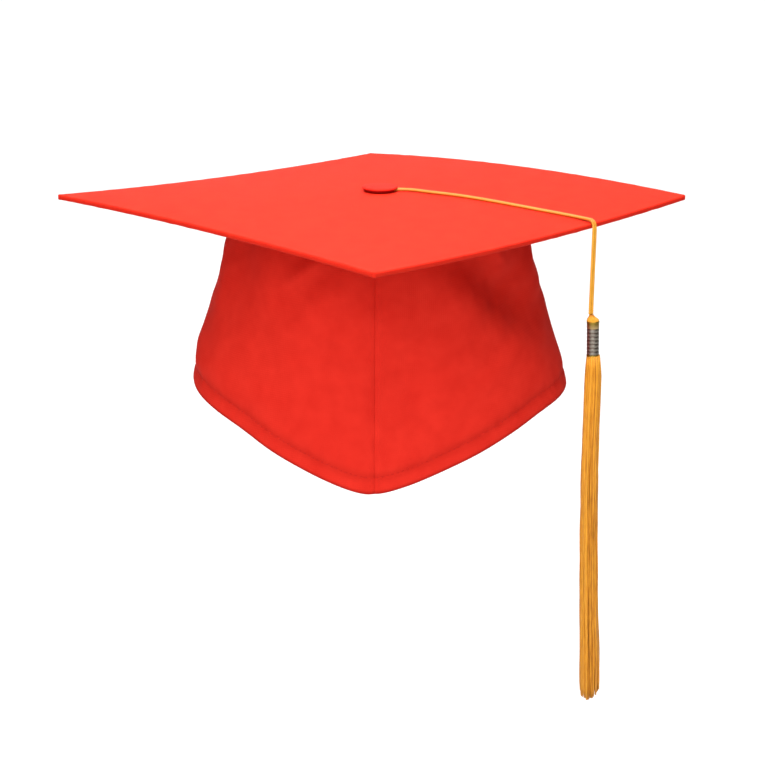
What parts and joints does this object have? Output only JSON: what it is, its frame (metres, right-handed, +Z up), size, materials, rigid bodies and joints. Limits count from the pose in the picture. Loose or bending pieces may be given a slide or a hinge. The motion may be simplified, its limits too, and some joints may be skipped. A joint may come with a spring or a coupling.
{
  "type": "mortarboard",
  "caption": "Red cloth graduation cap: square board worn corner-on, skull cap with a pointed hem, covered button, and a gold tassel on a doubled cord over one edge.",
  "frame": {"origin": "middle of the board's underside inside the skull cap, where the board sits on the crown of the head", "axes": "+Z up, -Y to the board's front corner (the wearer's face), +X to the viewer's right, the side the tassel hangs on"},
  "size_m": [0.3394, 0.3394, 0.2771],
  "materials": {
    "board_cloth": "red polyester cloth stretched over a card board",
    "cap_cloth": "red polyester cloth, sewn and hemmed",
    "button_cloth": "red polyester cloth gathered over a button",
    "gold_cord": "twisted gold rayon cord",
    "gold_thread": "gold rayon threads",
    "barrel_metal": "ribbed silver metal with a warm collar"
  },
  "bodies": {
    "root": {"board": "board_cloth", "cap_panel_left": "cap_cloth", "cap_panel_right": "cap_cloth", "button": "button_cloth", "button_shank": "button_cloth", "tassel_cord": "gold_cord", "tassel_barrel": "barrel_metal", "tassel_fringe": "gold_thread"}
  },
  "joints": []
}
